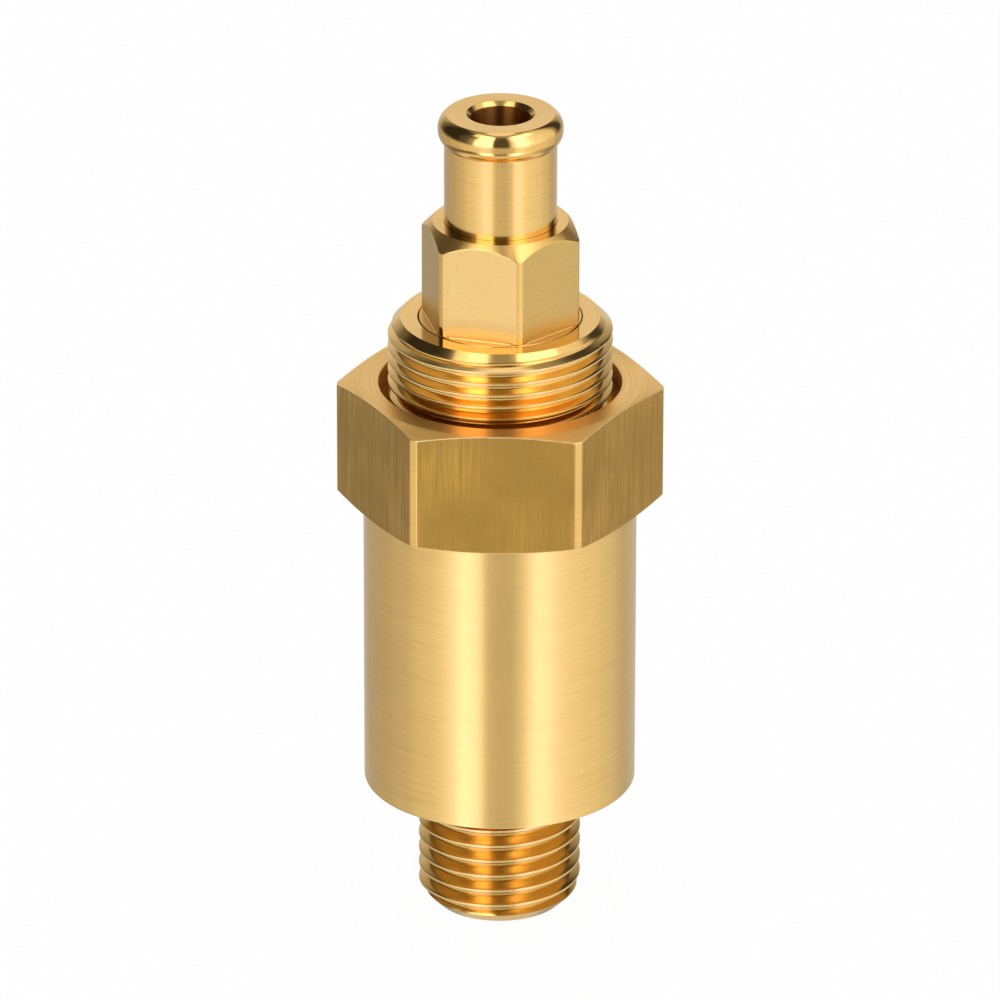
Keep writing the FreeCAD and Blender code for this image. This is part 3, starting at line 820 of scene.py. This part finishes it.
def make_floor():
    """A white floor. To the camera it is nearly all its own white, with a trace of the shadow."""
    mesh = bmesh.new()
    bmesh.ops.create_circle(mesh, cap_ends=True, segments=FLOOR_SIDES, radius=FLOOR_RADIUS)
    data = bpy.data.meshes.new("floor")
    mesh.to_mesh(data)
    mesh.free()
    floor = bpy.data.objects.new("floor", data)
    bpy.context.scene.collection.objects.link(floor)
    material, nodes = new_material("white_floor")
    seen = nodes.add("ShaderNodeLightPath").outputs["Is Camera Ray"]
    white = nodes.add("ShaderNodeEmission", {"Color": colour(WHITE), "Strength": 1.0})
    paper = nodes.add("ShaderNodeBsdfDiffuse", {"Color": colour(WHITE, PAPER_LEVEL)})
    share = nodes.math("MULTIPLY", seen, WHITE_SHARE)
    mixed = nodes.add("ShaderNodeMixShader", {0: share, 1: paper.outputs[0], 2: white.outputs[0]})
    nodes.add("ShaderNodeOutputMaterial", {"Surface": mixed.outputs[0]})
    data.materials.append(material)
    floor.visible_glossy = False
    floor.visible_shadow = False


def studio_level(nodes):
    """The studio's brightness and tint in every direction, as a share of its peak."""
    direction = nodes.add("ShaderNodeTexCoord").outputs["Generated"]
    parts = nodes.add("ShaderNodeSeparateXYZ", {0: direction}).outputs
    azimuth = nodes.math("ARCTAN2", parts[0], nodes.math("MULTIPLY", parts[1], -1.0))
    share = nodes.math("ADD", nodes.math("DIVIDE", azimuth, 2 * math.pi), 0.5)
    level = studio_grey(BELOW_LEVEL)
    stages = [
        (BELOW, nodes.levels(share, NEAR_TABLE)),
        (UNDERNEATH, nodes.levels(share, TABLE)),
        (HORIZON, nodes.levels(share, WALLS)),
        (CEILING, studio_grey(CEILING_LEVEL)),
        (OVERHEAD, studio_grey(OVERHEAD_LEVEL)),
    ]
    for fade, following in stages:
        level = nodes.blend(nodes.spread(parts[2], *fade), level, following)
    cool = nodes.spread(level, COOL_RANGE[0] / STUDIO_PEAK, COOL_RANGE[1] / STUDIO_PEAK)
    return nodes.blend(cool, level, colour(COOL_LIGHT), "MULTIPLY")


def make_world():
    """A backdrop that is white to the camera, and a pale studio with darker places to metal and
    glass. Matt surfaces are lit at one plain level."""
    world = bpy.data.worlds.new("studio")
    bpy.context.scene.world = world
    world.use_nodes = True
    world.node_tree.nodes.clear()
    nodes = Nodes(world.node_tree)
    studio = nodes.add("ShaderNodeBackground", {"Color": studio_level(nodes), "Strength": STUDIO_PEAK})
    white = nodes.add("ShaderNodeBackground", {"Color": colour(WHITE), "Strength": 1.0})
    plain = nodes.add("ShaderNodeBackground", {"Color": colour(WHITE), "Strength": PLAIN_LEVEL})
    path = nodes.add("ShaderNodeLightPath").outputs
    seen = path["Is Camera Ray"]
    backdrop = nodes.add("ShaderNodeMixShader", {0: seen, 1: studio.outputs[0], 2: white.outputs[0]})
    mirrored = nodes.math("ADD", path["Is Glossy Ray"], path["Is Transmission Ray"])
    shown = nodes.math("ADD", mirrored, seen, clamp=True)
    mixed = nodes.add("ShaderNodeMixShader", {0: shown, 1: plain.outputs[0], 2: backdrop.outputs[0]})
    nodes.add("ShaderNodeOutputWorld", {"Surface": mixed.outputs[0]})


def make_soft_boxes():
    """Two soft boxes high up, to the left and right of the camera."""
    for number, (azimuth, elevation, half_width, half_height, brightness) in enumerate(SOFT_BOXES, start=1):
        turn = math.radians(azimuth)
        rise = math.radians(elevation)
        light = bpy.data.lights.new(f"soft_box_{number}", "AREA")
        light.shape = "RECTANGLE"
        light.size = 2 * BOX_DISTANCE * math.tan(math.radians(half_width))
        light.size_y = 2 * BOX_DISTANCE * math.tan(math.radians(half_height))
        light.energy = brightness * math.pi * light.size * light.size_y
        box = bpy.data.objects.new(light.name, light)
        bpy.context.scene.collection.objects.link(box)
        towards = Vector((math.sin(turn) * math.cos(rise), -math.cos(turn) * math.cos(rise), math.sin(rise)))
        box.location = towards * BOX_DISTANCE + Vector((0, 0, AIM_HEIGHT * MM))
        box.rotation_euler = (math.radians(90) - rise, 0, turn)


def make_camera():
    data = bpy.data.cameras.new("camera")
    data.sensor_width = SENSOR
    data.lens = LENS
    data.clip_start = 0.01
    data.clip_end = 10.0
    camera = bpy.data.objects.new("camera", data)
    bpy.context.scene.collection.objects.link(camera)
    rise = math.radians(CAMERA_ELEVATION)
    back = Vector((0, -math.cos(rise), math.sin(rise)))
    camera.location = Vector((0, 0, AIM_HEIGHT * MM)) + back * CAMERA_DISTANCE
    camera.rotation_mode = "QUATERNION"
    roll = Quaternion((0, 0, 1), math.radians(CAMERA_ROLL))
    camera.rotation_quaternion = (-back).to_track_quat("-Z", "Y") @ roll
    bpy.context.scene.camera = camera


def main():
    bpy.context.scene.view_settings.view_transform = "Standard"
    make_camera()
    materials = make_materials()
    make_valve_body(materials)
    make_adjusting_bush(materials)
    make_lock_nut(materials)
    make_outlet_hex(materials)
    make_hose_spigot(materials)
    make_spring(materials)
    dress_inner_parts(materials)
    make_floor()
    make_world()
    make_soft_boxes()


main()
